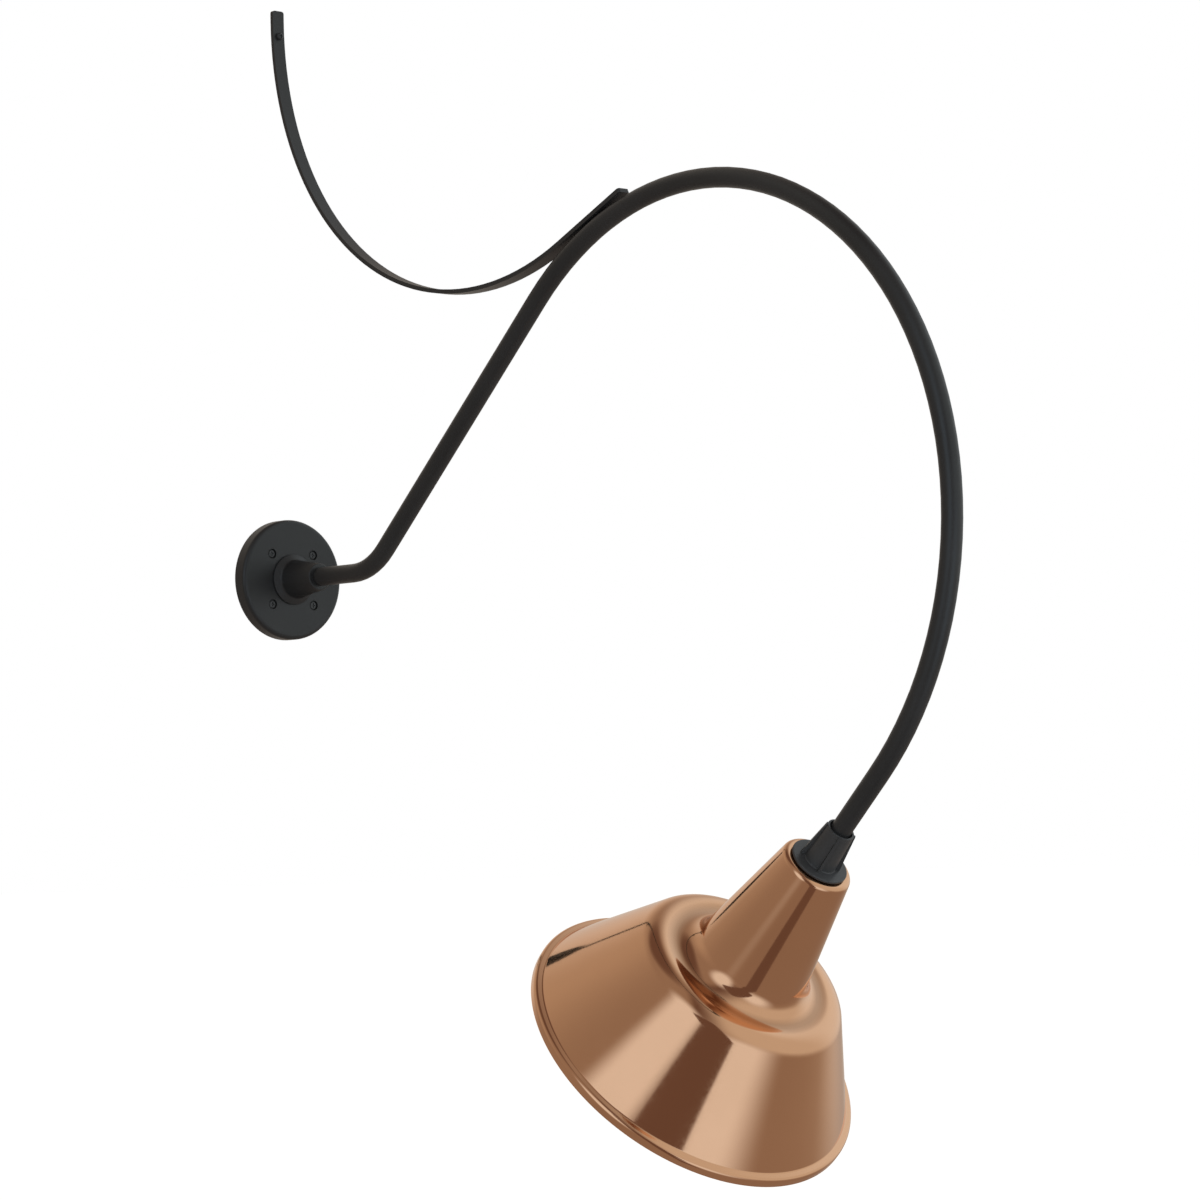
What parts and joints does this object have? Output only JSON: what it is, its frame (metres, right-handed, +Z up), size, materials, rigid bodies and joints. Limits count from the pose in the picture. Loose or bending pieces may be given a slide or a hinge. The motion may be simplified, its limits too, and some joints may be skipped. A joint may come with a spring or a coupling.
{
  "type": "gooseneck wall sconce",
  "caption": "Wall lamp: a bent pipe arm rises from a round wall plate, loops over and holds a tapered copper bell shade facing down and back; a curved flat strap braces it to the wall.",
  "frame": {"origin": "centre of the round wall plate, on the wall plane", "axes": "+Y into the wall, -Y out to the lamp, +Z up, X along the wall; the arm lies in the plane X = 0"},
  "size_m": [0.3648, 1.1038, 1.3256],
  "materials": {
    "black_coat": "satin black powder coat",
    "black_screw": "black coated steel, satin",
    "steel": "zinc plated",
    "copper": "polished lacquered copper",
    "rubber": "matt",
    "wire_black": "insulated lead",
    "wire_white": "insulated lead",
    "wire_green": "insulated lead",
    "connector": "moulded",
    "cap_metal": "pressed",
    "porcelain": "glazed",
    "brass": "plain",
    "bulb_metal": "bright",
    "bulb_insulation": "glassy",
    "bulb_glass": "opal"
  },
  "bodies": {
    "fixture": {"wall_plate": "black_coat", "wall_gasket": "rubber", "plate_screws": "black_screw", "arm_set_screw": "black_screw", "ground_screw": "steel", "ground_terminal": "brass", "ground_wire": "wire_green", "wire_connectors": "connector", "line_wire": "wire_black", "neutral_wire": "wire_white", "gooseneck_arm": "black_coat", "brace_strap": "black_coat", "brace_wall_screw": "black_screw", "brace_arm_screw": "black_screw", "shade_collar": "black_coat", "neck_gasket": "rubber", "neck_locknut": "steel", "shade": "copper", "socket_cap": "cap_metal", "lampholder_body": "porcelain", "lampholder_screws": "steel", "screw_shell": "brass", "centre_contact": "brass"},
    "bulb": {"bulb_contact": "brass", "bulb_insulator": "bulb_insulation", "bulb_cap": "bulb_metal", "bulb_glass": "bulb_glass"}
  },
  "joints": [
    {"name": "bulb_out", "type": "slide", "parent": "fixture", "child": "bulb", "axis": [0, 0.7102, -0.704], "range_m": [0, 0.032]}
  ]
}
